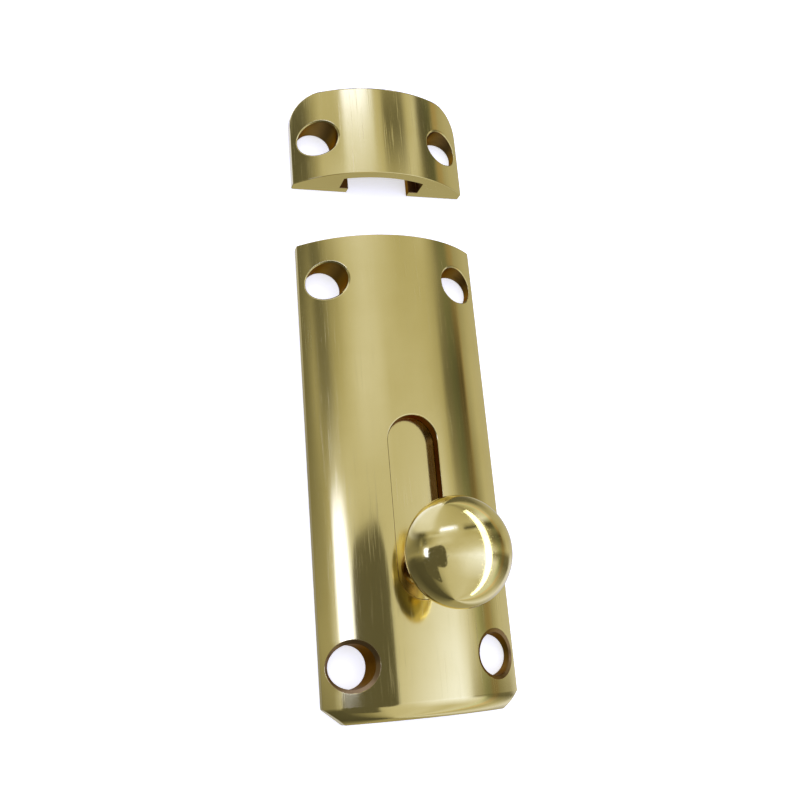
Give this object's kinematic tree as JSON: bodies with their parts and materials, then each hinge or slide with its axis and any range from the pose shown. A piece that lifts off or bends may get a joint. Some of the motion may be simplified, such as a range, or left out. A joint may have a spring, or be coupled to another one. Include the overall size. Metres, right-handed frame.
{
  "type": "knob slide bolt",
  "caption": "Short surface slide bolt in solid brass: domed case with a slot, a flat bolt moved by a round knob, and a separate keeper.",
  "frame": {"origin": "centre of the case's four screw holes, on the plane of its back", "axes": "+Z out of the door's face through the knob, +Y the way the bolt shoots towards the keeper, +X across the case"},
  "size_m": [0.0254, 0.0854, 0.0227],
  "materials": {
    "case_brass": "polished, with fine lines along its length",
    "keeper_brass": "polished, with fine lines along its length",
    "bolt_brass": "drawn, lightly polished",
    "knob_brass": "mirror polished",
    "screw_brass": "as turned",
    "spring_bronze": "rolled strip"
  },
  "bodies": {
    "fixed": {"case": "case_brass", "keeper": "keeper_brass"},
    "bolt": {"bolt": "bolt_brass", "knob": "knob_brass", "knob_screw": "screw_brass", "friction_spring": "spring_bronze"}
  },
  "joints": [
    {"name": "bolt_slide", "type": "slide", "parent": "fixed", "child": "bolt", "axis": [0, 1, 0], "range_m": [-0.00175, 0.01665]}
  ]
}
